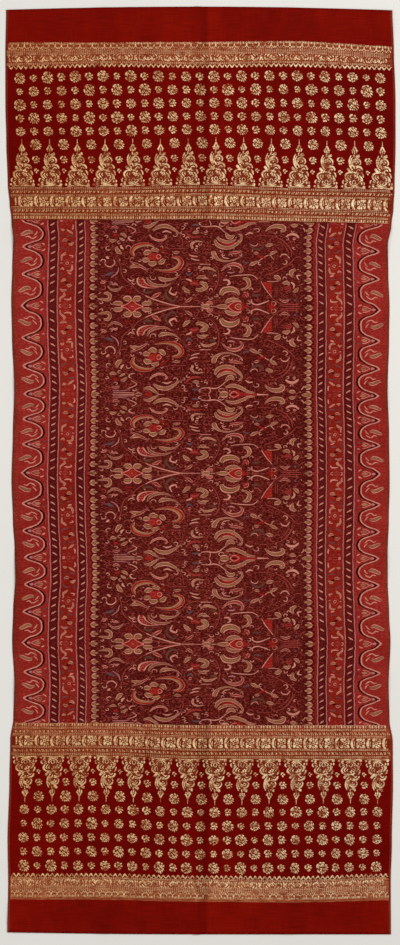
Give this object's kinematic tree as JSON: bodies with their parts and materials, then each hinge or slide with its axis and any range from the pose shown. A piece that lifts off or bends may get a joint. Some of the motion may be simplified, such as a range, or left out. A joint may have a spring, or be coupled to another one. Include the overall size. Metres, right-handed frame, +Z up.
{
  "type": "ceremonial ikat shoulder cloth with gold weft ends",
  "caption": "Long rectangular woven silk shoulder cloth with a dyed ikat field, patterned side borders and gold brocade ends, laid out flat face up.",
  "frame": {"origin": "centre of the cloth's footprint, on the surface that it lies on", "axes": "+Z up, out of the cloth's face; +Y along the cloth towards its upper end; +X across it from selvedge to selvedge"},
  "size_m": [0.844, 2.007, 0.0049],
  "materials": {
    "red_silk": "fine plain-woven silk, satin sheen",
    "gold_thread": "gold-wrapped weft thread, soft metallic",
    "dyed_ikat": "tie-dyed silk weft, satin sheen"
  },
  "bodies": {
    "root": {"ikat_cloth": "red_silk"}
  },
  "joints": []
}
